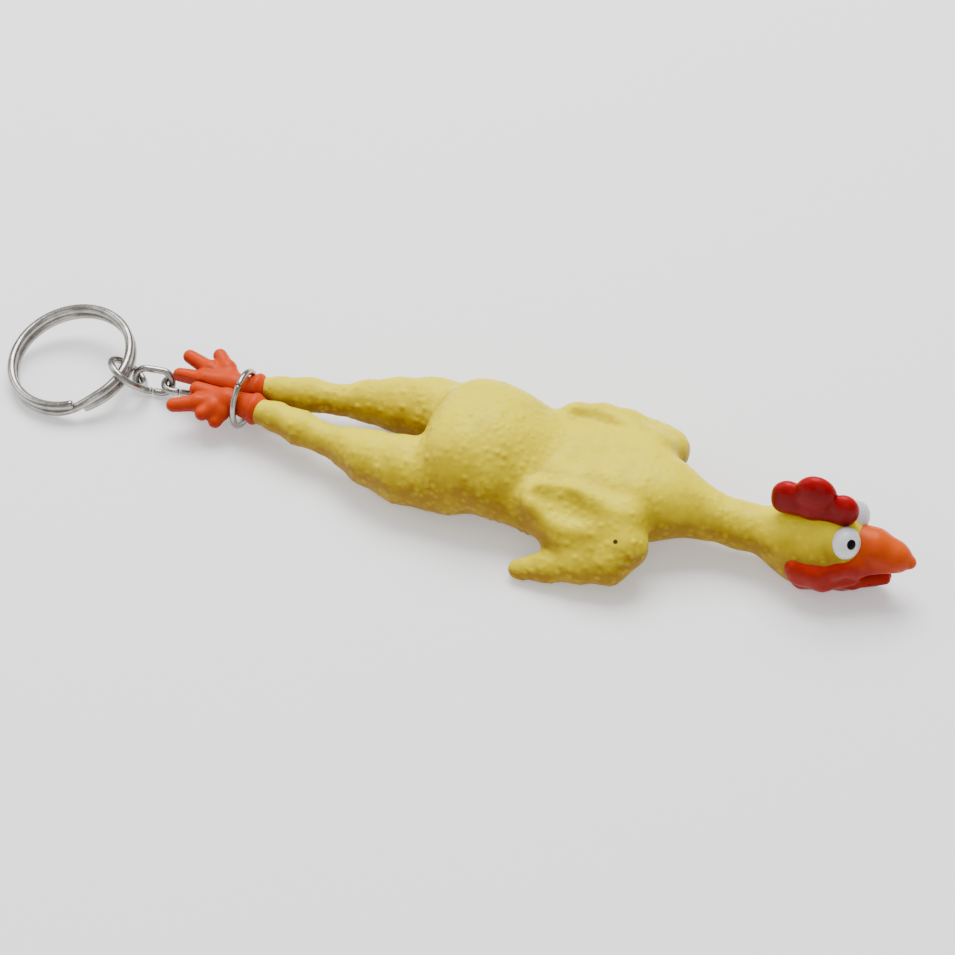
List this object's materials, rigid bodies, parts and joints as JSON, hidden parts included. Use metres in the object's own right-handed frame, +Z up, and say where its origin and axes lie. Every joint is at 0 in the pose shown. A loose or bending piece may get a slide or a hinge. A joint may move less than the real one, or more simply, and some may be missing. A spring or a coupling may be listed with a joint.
{
  "type": "rubber chicken",
  "caption": "Small plucked rubber chicken lying on its belly, tied at the ankles to a short steel chain and a split ring.",
  "frame": {"origin": "middle of the part's footprint, on the plane it lies on", "axes": "+X from the split ring and the feet towards the beak, +Z up, away from the plane the belly lies on"},
  "size_m": [0.1837, 0.0436, 0.0227],
  "materials": {
    "yellow_vinyl": "soft satin vinyl",
    "orange_paint": "satin paint on vinyl",
    "red_paint": "satin paint on vinyl",
    "white_paint": "glossy paint on vinyl, black pupil",
    "nickel": "polished nickel plate"
  },
  "bodies": {
    "body": {"torso": "yellow_vinyl"},
    "neck": {"neck": "yellow_vinyl"},
    "head": {"head": "yellow_vinyl", "comb": "red_paint", "upper_beak": "orange_paint", "lower_beak": "orange_paint", "lappet_right": "red_paint", "lappet_left": "red_paint", "eye_right": "white_paint", "eye_left": "white_paint"},
    "wing_right": {"wing_right": "yellow_vinyl"},
    "wing_left": {"wing_left": "yellow_vinyl"},
    "legs": {"leg_right": "yellow_vinyl", "leg_left": "yellow_vinyl", "foot_right": "orange_paint", "foot_left": "orange_paint"},
    "ankle_ring": {"ankle_ring": "nickel"},
    "link_5": {"link_5": "nickel"},
    "link_4": {"link_4": "nickel"},
    "link_3": {"link_3": "nickel"},
    "link_2": {"link_2": "nickel"},
    "link_1": {"link_1": "nickel"},
    "split_ring": {"split_ring": "nickel"}
  },
  "joints": [
    {"name": "neck_bend", "type": "hinge", "parent": "body", "child": "neck", "pos_m": [0.04932, 0, 0.0088], "axis": [0, 1, 0], "range_deg": [-25, 25], "stiffness_Nm_per_rad": 0.06},
    {"name": "head_turn", "type": "hinge", "parent": "neck", "child": "head", "pos_m": [0.06432, 0, 0.008], "axis": [0, 0, 1], "range_deg": [-25, 25], "stiffness_Nm_per_rad": 0.04},
    {"name": "wing_right_flex", "type": "hinge", "parent": "body", "child": "wing_right", "pos_m": [0.03282, -0.008, 0.015], "axis": [-1, 0, 0], "range_deg": [0, 30], "stiffness_Nm_per_rad": 0.02},
    {"name": "wing_left_flex", "type": "hinge", "parent": "body", "child": "wing_left", "pos_m": [0.03282, 0.008, 0.015], "axis": [1, 0, 0], "range_deg": [0, 30], "stiffness_Nm_per_rad": 0.02},
    {"name": "legs_bend", "type": "hinge", "parent": "body", "child": "legs", "pos_m": [0.00432, 0, 0.01], "axis": [0, 1, 0], "range_deg": [-25, 25], "stiffness_Nm_per_rad": 0.06},
    {"name": "ankle_ring_turn", "type": "hinge", "parent": "legs", "child": "ankle_ring", "pos_m": [-0.04168, 0, 0.006], "axis": [1, 0, 0], "range_deg": [-25, 0]},
    {"name": "link_5_swing", "type": "hinge", "parent": "ankle_ring", "child": "link_5", "pos_m": [-0.04168, 0.00414, 0.00253], "axis": [0, 0.6428, 0.766], "range_deg": [-30, 0]},
    {"name": "link_4_swing", "type": "hinge", "parent": "link_5", "child": "link_4", "pos_m": [-0.04769, 0.00325, 0.00271], "axis": [0.1313, -0.755, 0.6425], "range_deg": [-4, 26]},
    {"name": "link_3_swing", "type": "hinge", "parent": "link_4", "child": "link_3", "pos_m": [-0.05362, 0.00237, 0.0029], "axis": [-0.0614, 0.5851, 0.8086], "range_deg": [-24, 20]},
    {"name": "link_2_swing", "type": "hinge", "parent": "link_3", "child": "link_2", "pos_m": [-0.05955, 0.0015, 0.00308], "axis": [-0.1484, 0.9834, -0.1045], "range_deg": [-40, 40]},
    {"name": "link_1_swing", "type": "hinge", "parent": "link_2", "child": "link_1", "pos_m": [-0.06549, 0.00062, 0.00326], "axis": [-0.0379, 0.4439, 0.8953], "range_deg": [-40, 18]},
    {"name": "split_ring_swing", "type": "hinge", "parent": "link_1", "child": "split_ring", "pos_m": [-0.06886, 0.00236, 0.00495], "axis": [-0.5995, -0.4143, 0.6848], "range_deg": [-45, 0]}
  ]
}
